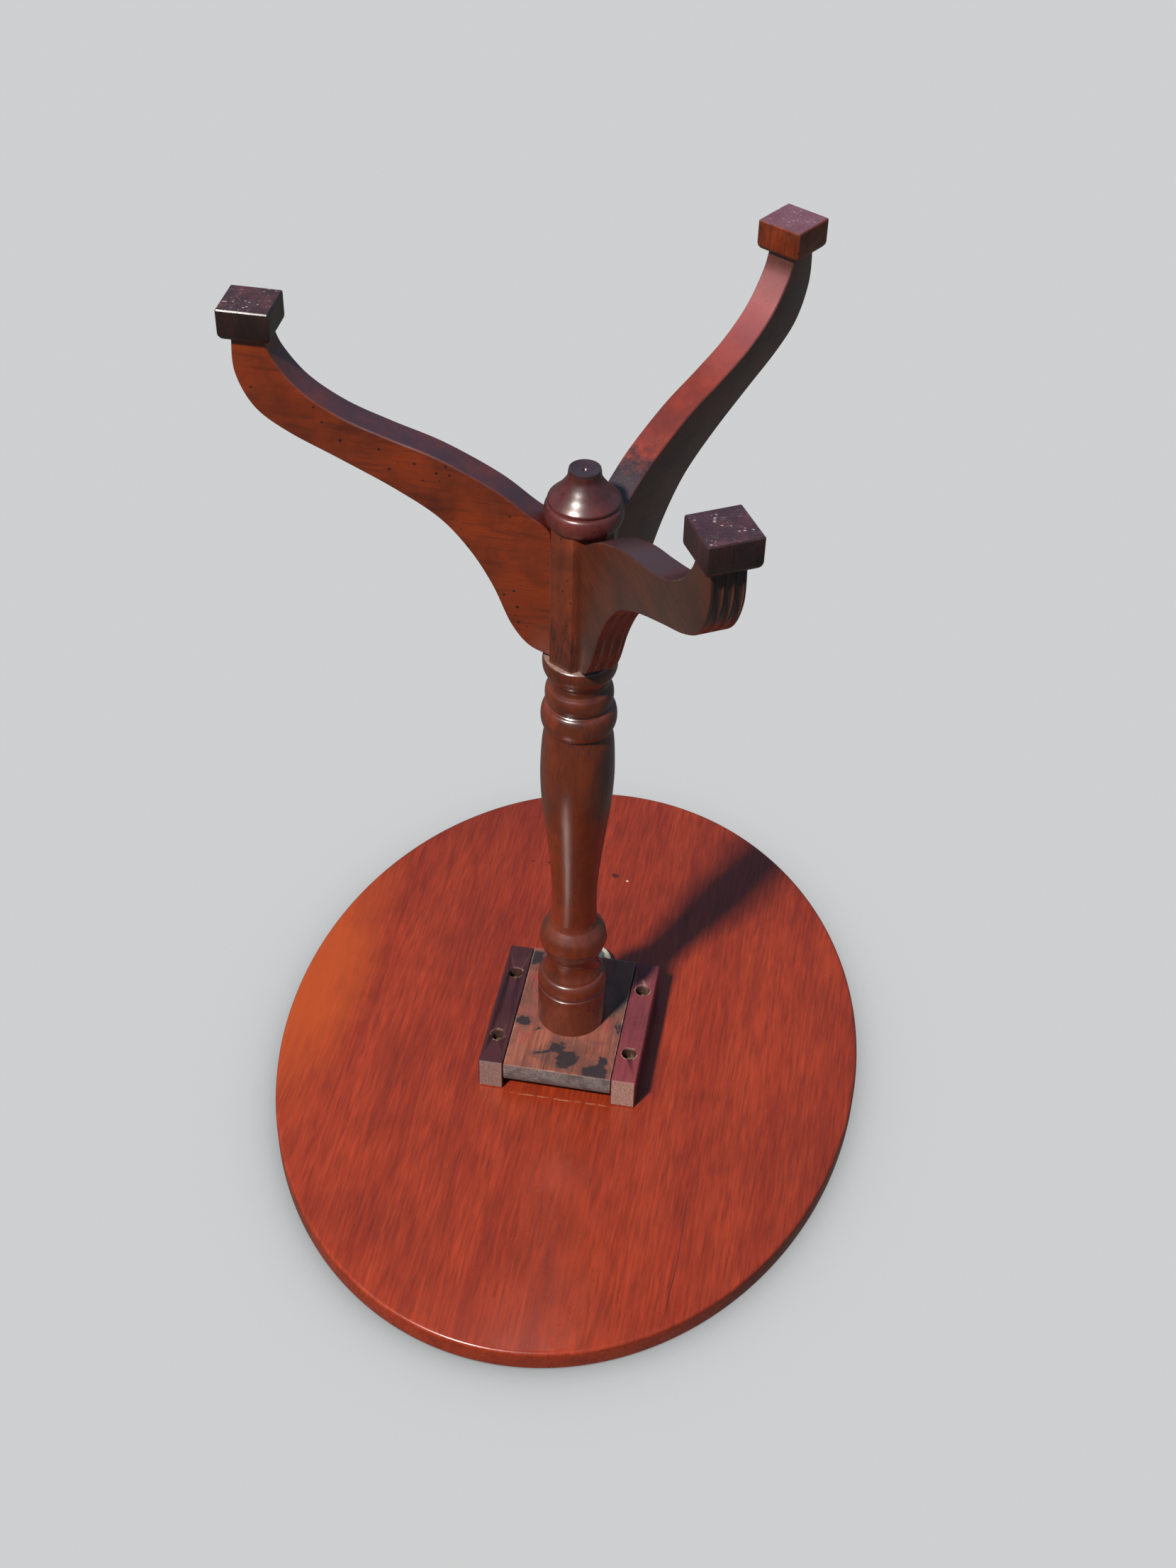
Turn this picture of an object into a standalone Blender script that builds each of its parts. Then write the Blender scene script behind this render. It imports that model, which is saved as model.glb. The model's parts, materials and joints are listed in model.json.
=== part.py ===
"""Tilt-top occasional table, upright, in metres.

+Z is up and the feet stand on z = 0. The column's axis is the Z axis. The top tilts about X,
at the end of the block nearest -Y, and the catch is at the other end, towards +Y.
"""

from math import atan2, cos, hypot, pi, radians, sin, sqrt

import bmesh
import bpy
from mathutils import Matrix, Vector

# Driving dimensions.
TOP_LENGTH = 0.610
TOP_WIDTH = 0.470
TOP_THICKNESS = 0.019
TOP_ROUNDING = 0.0025
UNDERSIDE = 0.645
GAP = 0.0003

BEARER_LENGTH = 0.131
BEARER_WIDTH = 0.0195
BEARER_HEIGHT = 0.029
BEARER_PLAY = 0.0007
SCREW_SPACING = 0.070
COUNTERBORE_RADIUS = 0.006
COUNTERBORE_DEPTH = 0.011

BLOCK_WIDTH = 0.086
BLOCK_THICKNESS = 0.019

PIN_RADIUS = 0.0032
PIN_CLEARANCE = 0.00008
PIN_IN_BLOCK = 0.022

COLLAR_RADIUS = 0.0271
TENON_RADIUS = 0.0125
WEDGE_LENGTH = 0.0235
WEDGE_DEPTH = 0.014

LEG_SECTION_FOOT = 0.1359
LEG_SECTION_HEAD = 0.2471
LEG_COUNT = 3
LEG_THICKNESS = 0.022
LEG_SEAT = 0.0195
FLAT_SEAT = 0.0222
TAIL_FOOT = 0.1455
TAIL_HEAD = 0.2300
TAIL_DEPTH = 0.0078
TAIL_NECK = 0.0085
TAIL_END = 0.0130

FOOT_SIDE = 0.0345
FOOT_HEIGHT = 0.022
FOOT_OUTER = 0.2348
DOWEL_RADIUS = 0.003
DOWEL_HALF = 0.011

FINIAL_DOWEL_RADIUS = 0.0045
FINIAL_DOWEL_LENGTH = 0.024

CATCH_RADIUS = 0.020
CATCH_BEYOND_BLOCK = 0.0146
CATCH_HEIGHT = 0.0094
CHANNEL_WIDTH = 0.0104
BOLT_TRAVEL = 0.0065
NOSE_IN_BLOCK = 0.004
NOSE_THICKNESS = 0.003
NOSE_BELOW_BLOCK_FACE = 0.0037
KEEPER_WIDTH = 0.034
KEEPER_THICKNESS = 0.0012

ROUND_SIDES = 40
SMALL_SIDES = 24

# Places that follow from them.
TOP_FACE = UNDERSIDE + TOP_THICKNESS
BLOCK_FOOT = UNDERSIDE - BEARER_HEIGHT
BLOCK_HEAD = BLOCK_FOOT + BLOCK_THICKNESS
BLOCK_END = BEARER_LENGTH / 2
PIVOT_Z = BLOCK_FOOT + BLOCK_THICKNESS / 2
PIVOT_TO_END = UNDERSIDE - PIVOT_Z - GAP
PIVOT_Y = -BLOCK_END + PIVOT_TO_END
BEARER_INNER = BLOCK_WIDTH / 2 + BEARER_PLAY
BEARER_MIDDLE = BEARER_INNER + BEARER_WIDTH / 2
FOOT_CENTRE = FOOT_OUTER - FOOT_SIDE / 2
LEG_ANGLES = [2 * pi * k / LEG_COUNT for k in range(LEG_COUNT)]
CATCH_Y = BLOCK_END + CATCH_BEYOND_BLOCK
CATCH_FOOT = UNDERSIDE - GAP - CATCH_HEIGHT
NOSE_HEAD = BLOCK_HEAD - NOSE_BELOW_BLOCK_FACE


def clear_scene():
    for obj in list(bpy.data.objects):
        bpy.data.objects.remove(obj, do_unlink=True)


def material(name, colour, roughness, metallic=0.0):
    made = bpy.data.materials.new(name)
    made.use_nodes = True
    shader = made.node_tree.nodes["Principled BSDF"]
    shader.inputs["Base Color"].default_value = (*colour, 1.0)
    shader.inputs["Roughness"].default_value = roughness
    shader.inputs["Metallic"].default_value = metallic
    made.diffuse_color = (*colour, 1.0)
    return made


def add_object(name, mesh_data, finish=None, origin=(0.0, 0.0, 0.0), smooth=False):
    """Links an object whose vertices are in world places, and puts its origin at `origin`."""
    mesh = bpy.data.meshes.new(name)
    bmesh.ops.recalc_face_normals(mesh_data, faces=mesh_data.faces)
    mesh_data.to_mesh(mesh)
    mesh_data.free()
    mesh.transform(Matrix.Translation(-Vector(origin)))
    obj = bpy.data.objects.new(name, mesh)
    obj.location = origin
    bpy.context.scene.collection.objects.link(obj)
    if finish:
        mesh.materials.append(finish)
    if smooth:
        mesh.shade_smooth()
        mesh.set_sharp_from_angle(angle=radians(35))
    return obj


def box_mesh(low, high):
    shape = bmesh.new()
    bmesh.ops.create_cube(shape, size=1.0)
    low, high = Vector(low), Vector(high)
    for vertex in shape.verts:
        vertex.co = Vector(
            low[i] + (vertex.co[i] + 0.5) * (high[i] - low[i]) for i in range(3)
        )
    return shape


def lathe_mesh(profile, sides=ROUND_SIDES, phase=0.0):
    """Turns (radius, z) points, listed from one end of the axis to the other, about Z."""
    shape = bmesh.new()
    rings = []
    for radius, z in profile:
        if radius < 1e-7:
            rings.append([shape.verts.new((0.0, 0.0, z))])
            continue
        angles = [phase + 2 * pi * i / sides for i in range(sides)]
        rings.append([shape.verts.new((radius * cos(a), radius * sin(a), z)) for a in angles])
    for first, second in zip(rings, rings[1:]):
        for i in range(sides):
            j = (i + 1) % sides
            corners = [first[i % len(first)], first[j % len(first)]]
            corners += [second[j % len(second)], second[i % len(second)]]
            shape.faces.new(list(dict.fromkeys(corners)))
    return shape


def rod_mesh(start, end, radius, sides=SMALL_SIDES):
    """A closed cylinder from one point to another."""
    start, end = Vector(start), Vector(end)
    along = end - start
    shape = lathe_mesh([(0, 0), (radius, 0), (radius, along.length), (0, along.length)], sides)
    turn = Vector((0, 0, 1)).rotation_difference(along).to_matrix().to_4x4()
    shape.transform(Matrix.Translation(start) @ turn)
    return shape


def prism_mesh(outline, low, high):
    """Extrudes an (x, y) outline from z = low to z = high."""
    shape = bmesh.new()
    rings = [[shape.verts.new((x, y, z)) for x, y in outline] for z in (low, high)]
    shape.faces.new(rings[0])
    shape.faces.new(rings[1])
    for i in range(len(outline)):
        j = (i + 1) % len(outline)
        shape.faces.new([rings[0][i], rings[0][j], rings[1][j], rings[1][i]])
    return shape


def combine(obj, shape, operation):
    """Applies a Boolean with a helper object made from `shape`."""
    helper = add_object(f"{obj.name}_{operation.lower()}", shape)
    helper.hide_render = True
    helper.display_type = "WIRE"
    helper.parent = obj
    helper.matrix_parent_inverse = Matrix.Translation(-Vector(obj.location))
    change = obj.modifiers.new(operation.title(), "BOOLEAN")
    change.operation = operation
    change.solver = "EXACT"
    change.object = helper


def round_edges(obj, width, segments=2, angle=40):
    bevel = obj.modifiers.new("Rounded edges", "BEVEL")
    bevel.width = width
    bevel.segments = segments
    bevel.limit_method = "ANGLE"
    bevel.angle_limit = radians(angle)


def curve_through(points, steps):
    """A smooth curve through the points, as a Catmull-Rom spline."""
    found = []
    ends = [points[0]] + list(points) + [points[-1]]
    for p0, p1, p2, p3 in zip(ends, ends[1:], ends[2:], ends[3:]):
        for i in range(steps):
            t = i / steps
            weights = (
                (-t + 2 * t * t - t**3) / 2,
                (2 - 5 * t * t + 3 * t**3) / 2,
                (t + 4 * t * t - 3 * t**3) / 2,
                (-t * t + t**3) / 2,
            )
            found.append(
                tuple(sum(w * p[k] for w, p in zip(weights, (p0, p1, p2, p3))) for k in (0, 1))
            )
    return found + [points[-1]]


def bead(start, end, bulge, steps=5):
    """A half-round moulding from one (radius, z) point to the other, standing out by `bulge`."""
    found = []
    for i in range(steps + 1):
        turn = pi * i / steps
        share = (1 - cos(turn)) / 2
        radius = start[0] + (end[0] - start[0]) * share + bulge * sin(turn)
        found.append((radius, start[1] + (end[1] - start[1]) * share))
    return found


def on_leg(shape, angle):
    """Turns a shape drawn with its radius along X to a leg's place round the column."""
    shape.transform(Matrix.Rotation(angle, 4, "Z"))
    return shape


# The turned work.


def column_profile():
    """Outer side of the turning, from the legs' collar up to the block, and the tenon above."""
    collar = curve_through(
        [(0.0261, LEG_SECTION_HEAD), (0.0267, 0.2520), (0.0258, 0.2585), (0.0215, 0.2665)], 3
    )
    ring = [(0.0213, 0.2705), (0.0220, 0.2724)]
    ring += bead((0.0226, 0.2735), (0.0226, 0.2880), 0.0021)
    ring += bead((0.0236, 0.2893), (0.0242, 0.3095), 0.0037, 7)
    vase = curve_through(
        [
            (0.0241, 0.3102),
            (0.0262, 0.3250),
            (0.0273, 0.3530),
            (0.0262, 0.3800),
            (0.0234, 0.4080),
            (0.0203, 0.4360),
            (0.0179, 0.4660),
            (0.0175, 0.4850),
            (0.0179, 0.5030),
        ],
        3,
    )
    cup = curve_through([(0.0191, 0.5082), (0.0222, 0.5125), (0.0250, 0.5176), (0.0266, 0.5262)], 2)
    cup += curve_through([(0.0263, 0.5283), (0.0240, 0.5350), (0.0204, 0.5426)], 2)
    neck = [(0.0203, 0.5455), (0.0197, 0.5462)]
    neck += curve_through([(0.0197, 0.5480), (0.0205, 0.5542), (0.0229, 0.5602)], 2)
    neck += [(0.0229, 0.5618)]
    foot = bead((0.0236, 0.5624), (0.0258, 0.5765), 0.0024)
    foot += [(0.0268, 0.5774), (COLLAR_RADIUS, 0.5789), (COLLAR_RADIUS, BLOCK_FOOT - GAP)]
    tenon = [(TENON_RADIUS, BLOCK_FOOT - GAP), (TENON_RADIUS, BLOCK_HEAD - GAP)]
    inside = (0.0, LEG_SECTION_HEAD)
    return [inside] + collar + ring + vase + cup + neck + foot + tenon + [(0.0, BLOCK_HEAD - GAP)]


def finial_profile():
    """The drop finial, from its flat end up to the dowel in the column."""
    end = [(0.0, 0.0972), (0.0016, 0.0968), (0.0022, 0.0960), (0.0088, 0.0958)]
    end += [(0.0096, 0.0953), (0.0106, 0.0955), (0.0108, 0.0966)]
    bell = curve_through(
        [
            (0.0111, 0.0978),
            (0.0116, 0.1015),
            (0.0134, 0.1052),
            (0.0158, 0.1086),
            (0.0187, 0.1124),
            (0.0226, 0.1160),
            (0.0245, 0.1186),
        ],
        3,
    )
    ring = [(0.0239, 0.1205)] + bead((0.0243, 0.1213), (0.0240, 0.1354), 0.0028, 6)
    head = LEG_SECTION_FOOT - GAP
    dowel = [(FINIAL_DOWEL_RADIUS, head), (FINIAL_DOWEL_RADIUS, head + FINIAL_DOWEL_LENGTH)]
    return end + bell + ring + dowel + [(0.0, head + FINIAL_DOWEL_LENGTH)]


def leg_section_outline():
    """Six flats: three seats for the legs, and three wider-set flats between them."""
    seat_half = (4 * FLAT_SEAT - 2 * LEG_SEAT) / sqrt(3) / 2
    corner = hypot(LEG_SEAT, seat_half)
    offset = atan2(seat_half, LEG_SEAT)
    turns = [angle + side * offset for angle in LEG_ANGLES for side in (-1, 1)]
    return [(corner * cos(t), corner * sin(t)) for t in turns]


def tail_outline(grow):
    """A dovetail in plan, its root at the leg's seat; `grow` makes the socket that holds it."""
    root, end = LEG_SEAT + 0.002, LEG_SEAT - TAIL_DEPTH - grow
    slope = (TAIL_END - TAIL_NECK) / 2 / TAIL_DEPTH
    half_root = TAIL_NECK / 2 - slope * (root - LEG_SEAT) + grow
    half_end = TAIL_END / 2 + grow
    return [(root, -half_root), (root, half_root), (end, half_end), (end, -half_end)]


def make_column(finish):
    column = add_object("column", lathe_mesh(column_profile()), finish, smooth=True)
    overlap = 0.004
    prism = prism_mesh(leg_section_outline(), LEG_SECTION_FOOT, LEG_SECTION_HEAD + overlap)
    combine(column, prism, "UNION")
    for angle in LEG_ANGLES:
        socket = prism_mesh(tail_outline(GAP), LEG_SECTION_FOOT - 0.01, TAIL_HEAD + GAP)
        combine(column, on_leg(socket, angle), "DIFFERENCE")
    dowel_head = LEG_SECTION_FOOT + FINIAL_DOWEL_LENGTH + GAP
    dowel_hole = rod_mesh((0, 0, 0.1), (0, 0, dowel_head), FINIAL_DOWEL_RADIUS + 0.0002, ROUND_SIDES)
    combine(column, dowel_hole, "DIFFERENCE")
    combine(column, wedge_mesh(GAP), "DIFFERENCE")


def wedge_mesh(grow):
    """A thin wedge along X, wide end up, in the end of the column's tenon."""
    head = BLOCK_HEAD - GAP + (0.002 if grow else 0.0)
    foot = BLOCK_HEAD - GAP - WEDGE_DEPTH - grow
    half_length = WEDGE_LENGTH / 2 - GAP if not grow else TENON_RADIUS + 0.002
    shape = box_mesh((-half_length, -1, foot), (half_length, 1, head))
    for vertex in shape.verts:
        thick = 0.0013 if vertex.co.z > (foot + head) / 2 else 0.0005
        vertex.co.y *= thick + grow
    return shape


# Legs and feet.


def leg_outline():
    """The leg from the side, as (radius, z): under-face outwards, then the outer face back."""
    inner = LEG_SEAT + GAP
    under = curve_through(
        [
            (inner, 0.1420),
            (0.0320, 0.1325),
            (0.0590, 0.1130),
            (0.0960, 0.0945),
            (0.1300, 0.0830),
            (0.1600, 0.0715),
            (0.1850, 0.0555),
            (0.2010, 0.0360),
            (0.2065, FOOT_HEIGHT + GAP),
        ],
        3,
    )
    outer = curve_through(
        [
            (0.2282, FOOT_HEIGHT + GAP),
            (0.2280, 0.0470),
            (0.2170, 0.0710),
            (0.1960, 0.0870),
            (0.1620, 0.1035),
            (0.1260, 0.1215),
            (0.0960, 0.1405),
            (0.0755, 0.1635),
            (0.0600, 0.1900),
            (0.0475, 0.2200),
            (0.0350, 0.2370),
            (inner, 0.2443),
        ],
        3,
    )
    return under + outer


def make_leg(number, angle, finish):
    """A sawn leg, drawn from the side and turned upright, with its dovetail along its seat."""
    shape = prism_mesh(leg_outline(), -LEG_THICKNESS / 2, LEG_THICKNESS / 2)
    shape.transform(Matrix.Rotation(pi / 2, 4, "X"))
    leg = add_object(f"leg_{number}", on_leg(shape, angle), finish, smooth=True)
    tail = prism_mesh(tail_outline(0.0), TAIL_FOOT, TAIL_HEAD)
    combine(leg, on_leg(tail, angle), "UNION")
    combine(leg, on_leg(dowel_mesh(GAP), angle), "DIFFERENCE")


def dowel_mesh(grow):
    middle = (FOOT_CENTRE + 0.0015, 0, FOOT_HEIGHT)
    half = Vector((0, 0, DOWEL_HALF + grow))
    return rod_mesh(Vector(middle) - half, Vector(middle) + half, DOWEL_RADIUS + grow / 2, 16)


def make_foot(number, angle, finish):
    half = FOOT_SIDE / 2
    shape = box_mesh((FOOT_CENTRE - half, -half, 0), (FOOT_CENTRE + half, half, FOOT_HEIGHT))
    upper = [edge for edge in shape.edges if all(v.co.z > 0.5 * FOOT_HEIGHT for v in edge.verts)]
    bmesh.ops.bevel(shape, geom=upper, offset=0.005, segments=4, profile=0.5, affect="EDGES")
    others = [edge for edge in shape.edges if edge.calc_face_angle(0) > radians(60)]
    bmesh.ops.bevel(shape, geom=others, offset=0.0008, segments=1, profile=0.5, affect="EDGES")
    foot = add_object(f"foot_{number}", on_leg(shape, angle), finish, smooth=True)
    combine(foot, on_leg(dowel_mesh(GAP), angle), "DIFFERENCE")


# Block, bearers and top.


def block_outline():
    """The block from the side, as (y, z). Its pivot end is rounded above the pivot's height,
    and flat below it, so that the flat meets the underside as a stop when the top stands up."""
    half = BLOCK_THICKNESS / 2
    last = atan2(half, sqrt(PIVOT_TO_END**2 - half**2))
    steps = 5
    outline = [(-BLOCK_END, BLOCK_FOOT)]
    for i in range(steps + 1):
        turn = last * i / steps
        y = PIVOT_Y - PIVOT_TO_END * cos(turn)
        outline.append((y, PIVOT_Z + PIVOT_TO_END * sin(turn)))
    return outline + [(BLOCK_END, BLOCK_HEAD), (BLOCK_END, BLOCK_FOOT)]


def side_prism(outline, low_x, high_x):
    """Extrudes a (y, z) outline along X."""
    shape = prism_mesh(outline, low_x, high_x)
    shape.transform(Matrix(((0, 0, 1, 0), (1, 0, 0, 0), (0, 1, 0, 0), (0, 0, 0, 1))))
    return shape


def make_block(finish):
    half = BLOCK_WIDTH / 2
    block = add_object("pillar_block", side_prism(block_outline(), -half, half), finish)
    hole_radius = TENON_RADIUS + GAP
    hole = rod_mesh((0, 0, BLOCK_FOOT - 0.01), (0, 0, BLOCK_HEAD + 0.01), hole_radius, ROUND_SIDES)
    combine(block, hole, "DIFFERENCE")
    for side in (-1, 1):
        combine(block, pin_mesh(side, PIN_CLEARANCE, 0.002), "DIFFERENCE")
    socket_low = (-0.0055, BLOCK_END - NOSE_IN_BLOCK - 0.001, NOSE_HEAD - NOSE_THICKNESS - 0.0005)
    socket_high = (0.0055, BLOCK_END + 0.001, NOSE_HEAD + 0.0003)
    combine(block, box_mesh(socket_low, socket_high), "DIFFERENCE")
    for side in (-1, 1):
        centre = keeper_screw_centre(side)
        hole = rod_mesh(centre + Vector((0, 0.001, 0)), centre - Vector((0, 0.0125, 0)), 0.0014, 12)
        combine(block, hole, "DIFFERENCE")


def pin_mesh(side, grow, longer=0.0):
    """A pivot pin through a bearer into the block; grown, it cuts the hole it turns in."""
    inner = BLOCK_WIDTH / 2 - PIN_IN_BLOCK - (GAP if grow else 0.0)
    outer = BEARER_INNER + BEARER_WIDTH - 0.0005 + longer
    start = (side * inner, PIVOT_Y, PIVOT_Z)
    end = (side * outer, PIVOT_Y, PIVOT_Z)
    return rod_mesh(start, end, PIN_RADIUS + grow, 32)


def screw_places():
    return [(sx * BEARER_MIDDLE, sy * SCREW_SPACING / 2) for sx in (-1, 1) for sy in (-1, 1)]


def make_bearer(name, side, finish):
    inner, outer = side * BEARER_INNER, side * (BEARER_INNER + BEARER_WIDTH)
    low = (min(inner, outer), -BEARER_LENGTH / 2, BLOCK_FOOT)
    high = (max(inner, outer), BEARER_LENGTH / 2, UNDERSIDE - GAP)
    bearer = add_object(name, box_mesh(low, high), finish)
    round_edges(bearer, 0.0008, 1)
    combine(bearer, pin_mesh(side, PIN_CLEARANCE, 0.002), "DIFFERENCE")
    for x, y in screw_places():
        if x * side > 0:
            seat = BLOCK_FOOT + COUNTERBORE_DEPTH
            wide = rod_mesh((x, y, BLOCK_FOOT - 0.01), (x, y, seat), COUNTERBORE_RADIUS)
            combine(bearer, wide, "DIFFERENCE")
            combine(bearer, rod_mesh((x, y, seat - 0.005), (x, y, TOP_FACE), 0.0026, 16), "DIFFERENCE")


def screw_mesh(head_radius, head_height, shank_radius, length, countersunk):
    """A slotted wood screw standing on the origin, head down and point up."""
    if countersunk:
        profile = [(0, 0), (head_radius, 0), (head_radius, 0.0003), (shank_radius, head_height)]
    else:
        dome = [(head_radius * sin(t), head_height * (1 - cos(t))) for t in (0.5, 1.0, pi / 2)]
        profile = [(0, 0)] + dome + [(shank_radius, head_height)]
    point = length - 3 * shank_radius
    profile += [(shank_radius, point), (0.3 * shank_radius, length - 0.0005), (0, length)]
    return lathe_mesh(profile, 16)


def add_screw(name, centre, turn, sizes, finish):
    """Places a screw and cuts its slot, which lies across the local X axis."""
    place = Matrix.Translation(centre) @ turn
    shape = screw_mesh(*sizes)
    shape.transform(place)
    screw = add_object(name, shape, finish, origin=centre, smooth=True)
    half, depth = sizes[0] * 0.11, sizes[1] * 0.42
    slot = box_mesh((-sizes[0] * 1.2, -half, -0.002), (sizes[0] * 1.2, half, depth))
    slot.transform(place)
    combine(screw, slot, "DIFFERENCE")


def make_bearer_screws(finish):
    for number, (x, y) in enumerate(screw_places(), 1):
        seat = BLOCK_FOOT + COUNTERBORE_DEPTH - GAP
        head = 0.0030
        centre = Vector((x, y, seat - head))
        sizes = (0.0046, head, 0.0023, 0.0335, False)
        turn = Matrix.Rotation(0.7 * number, 4, "Z")
        add_screw(f"bearer_screw_{number}", centre, turn, sizes, finish)


def make_top(finish):
    """The oval top, with both arrises rounded."""
    corners = 3
    profile = []
    for centre, start in ((UNDERSIDE + TOP_ROUNDING, -pi / 2), (TOP_FACE - TOP_ROUNDING, 0.0)):
        for i in range(corners + 1):
            turn = start + pi / 2 * i / corners
            profile.append((TOP_ROUNDING * (cos(turn) - 1), centre + TOP_ROUNDING * sin(turn)))
    sides = 96
    shape = bmesh.new()
    rings = []
    for inset, z in profile:
        ring = []
        for i in range(sides):
            turn = 2 * pi * i / sides
            x = (TOP_WIDTH / 2 + inset) * cos(turn)
            ring.append(shape.verts.new((x, (TOP_LENGTH / 2 + inset) * sin(turn), z)))
        rings.append(ring)
    for first, second in zip(rings, rings[1:]):
        for i in range(sides):
            j = (i + 1) % sides
            shape.faces.new([first[i], first[j], second[j], second[i]])
    shape.faces.new(rings[0])
    shape.faces.new(rings[-1])
    top = add_object("tabletop", shape, finish, origin=(0, PIVOT_Y, PIVOT_Z), smooth=True)
    for x, y in screw_places():
        combine(top, rod_mesh((x, y, UNDERSIDE - 0.01), (x, y, 0.6585), 0.0026, 16), "DIFFERENCE")
    for side in (-1, 1):
        x, y = catch_screw_place(side)
        combine(top, rod_mesh((x, y, UNDERSIDE - 0.01), (x, y, 0.6572), 0.0019, 12), "DIFFERENCE")


# The catch: a round case under the top, a sprung bolt in it, and a keeper on the block's end.


def catch_screw_place(side):
    return side * 0.0135, CATCH_Y + 0.002


def channel_ends():
    return BLOCK_END - 0.0023, CATCH_Y + CATCH_RADIUS - 0.0026


def bolt_levels():
    """The slide's lower and upper faces, inside the case."""
    return CATCH_FOOT + 0.0035, UNDERSIDE - 0.0010


def make_catch_case(finish):
    profile = [(0, 0), (CATCH_RADIUS - 0.0012, 0), (CATCH_RADIUS - 0.0003, 0.0004)]
    profile += [(CATCH_RADIUS, 0.0013), (CATCH_RADIUS, CATCH_HEIGHT), (0, CATCH_HEIGHT)]
    shape = lathe_mesh(profile, 48)
    shape.transform(Matrix.Translation((0, CATCH_Y, CATCH_FOOT)))
    case = add_object("catch_case", shape, finish, smooth=True)
    start, end = channel_ends()
    slide_foot, _ = bolt_levels()
    half = CHANNEL_WIDTH / 2
    channel = box_mesh((-half, start, slide_foot - GAP), (half, end, UNDERSIDE + 0.001))
    combine(case, channel, "DIFFERENCE")
    post_start, post_end = post_ends()
    slot_low = (-0.0044, post_start - 0.0004, CATCH_FOOT - 0.002)
    slot_high = (0.0044, post_end + BOLT_TRAVEL + 0.0004, slide_foot + 0.001)
    combine(case, box_mesh(slot_low, slot_high), "DIFFERENCE")
    for side in (-1, 1):
        x, y = catch_screw_place(side)
        cone = [(0, -0.001), (0.0038, -0.001), (0.0038, 0.0007), (0.0020, 0.0028)]
        hole = lathe_mesh(cone + [(0.0020, 0.012), (0, 0.012)], 16)
        hole.transform(Matrix.Translation((x, y, CATCH_FOOT)))
        combine(case, hole, "DIFFERENCE")


def post_ends():
    start = BLOCK_END + GAP + KEEPER_THICKNESS + 0.0013
    return start, start + 0.003


def make_bolt(finish):
    """Slide in the case, post down past the block's end, nose into the keeper, and thumb piece."""
    slide_foot, slide_head = bolt_levels()
    start, _ = channel_ends()
    post_start, post_end = post_ends()
    half = CHANNEL_WIDTH / 2 - 0.0004
    slide = box_mesh((-half, start + 0.0005, slide_foot), (half, 0.0862, slide_head))
    bolt = add_object("catch_bolt", slide, finish)
    thumb_foot = NOSE_HEAD - 0.0105
    combine(bolt, box_mesh((-0.004, post_start, thumb_foot), (0.004, post_end, slide_foot + 0.001)), "UNION")
    nose_low = (-0.0045, BLOCK_END - NOSE_IN_BLOCK, NOSE_HEAD - NOSE_THICKNESS)
    combine(bolt, box_mesh(nose_low, (0.0045, post_start + 0.001, NOSE_HEAD)), "UNION")
    thumb = rod_mesh((0, 0, thumb_foot - 0.0018), (0, 0, thumb_foot + 0.0006), 0.0075, 28)
    thumb.transform(Matrix.Translation((0, post_start + 0.0068, 0)))
    combine(bolt, thumb, "UNION")


def make_catch_spring(finish):
    """A compression spring behind the slide, wound about Y."""
    turns, points_per_turn = 6, 12
    wire, coil = 0.0003, 0.0018
    start, end = 0.0862 + GAP + wire, channel_ends()[1] - GAP - wire
    slide_foot, slide_head = bolt_levels()
    middle = (slide_foot + slide_head) / 2
    curve = bpy.data.curves.new("catch_spring", "CURVE")
    curve.dimensions = "3D"
    curve.bevel_depth = wire
    curve.bevel_resolution = 1
    curve.use_fill_caps = True
    spline = curve.splines.new("POLY")
    count = turns * points_per_turn
    spline.points.add(count)
    for i, point in enumerate(spline.points):
        turn = 2 * pi * i / points_per_turn
        y = start + (end - start) * i / count
        point.co = (coil * cos(turn), y, middle + coil * sin(turn), 1.0)
    curve.materials.append(finish)
    spring = bpy.data.objects.new("catch_spring", curve)
    bpy.context.scene.collection.objects.link(spring)


def make_catch_screws(finish):
    for number, side in enumerate((-1, 1), 1):
        x, y = catch_screw_place(side)
        centre = Vector((x, y, CATCH_FOOT + 0.0001))
        turn = Matrix.Rotation(0.9 * number, 4, "Z")
        add_screw(f"catch_screw_{number}", centre, turn, (0.0033, 0.0023, 0.0016, 0.0205, True), finish)


def keeper_screw_centre(side):
    return Vector((side * 0.0118, BLOCK_END, BLOCK_FOOT + 0.0070))


def make_keeper(finish):
    half = KEEPER_WIDTH / 2
    face = BLOCK_END + GAP
    low = (-half, face, BLOCK_FOOT + 0.0006)
    high = (half, face + KEEPER_THICKNESS, BLOCK_HEAD - 0.0004)
    keeper = add_object("keeper_plate", box_mesh(low, high), finish)
    window_low = (-0.0053, face - 0.001, NOSE_HEAD - NOSE_THICKNESS - 0.0004)
    combine(keeper, box_mesh(window_low, (0.0053, face + 0.003, NOSE_HEAD + 0.0003)), "DIFFERENCE")
    for side in (-1, 1):
        centre = keeper_screw_centre(side)
        cone = [(0, -0.002), (0.0016, -0.002), (0.0016, 0), (0.0030, KEEPER_THICKNESS - 0.0004)]
        hole = lathe_mesh(cone + [(0.0030, 0.0025), (0, 0.0025)], 16)
        place = Matrix.Translation(centre + Vector((0, GAP, 0)))
        hole.transform(place @ Matrix.Rotation(-pi / 2, 4, "X"))
        combine(keeper, hole, "DIFFERENCE")


def make_keeper_screws(finish):
    for number, side in enumerate((-1, 1), 1):
        centre = keeper_screw_centre(side) + Vector((0, GAP + KEEPER_THICKNESS + 0.0001, 0))
        turn = Matrix.Rotation(pi / 2, 4, "X") @ Matrix.Rotation(0.5 * number, 4, "Z")
        add_screw(f"keeper_screw_{number}", centre, turn, (0.0026, 0.0012, 0.0011, 0.0125, True), finish)


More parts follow.
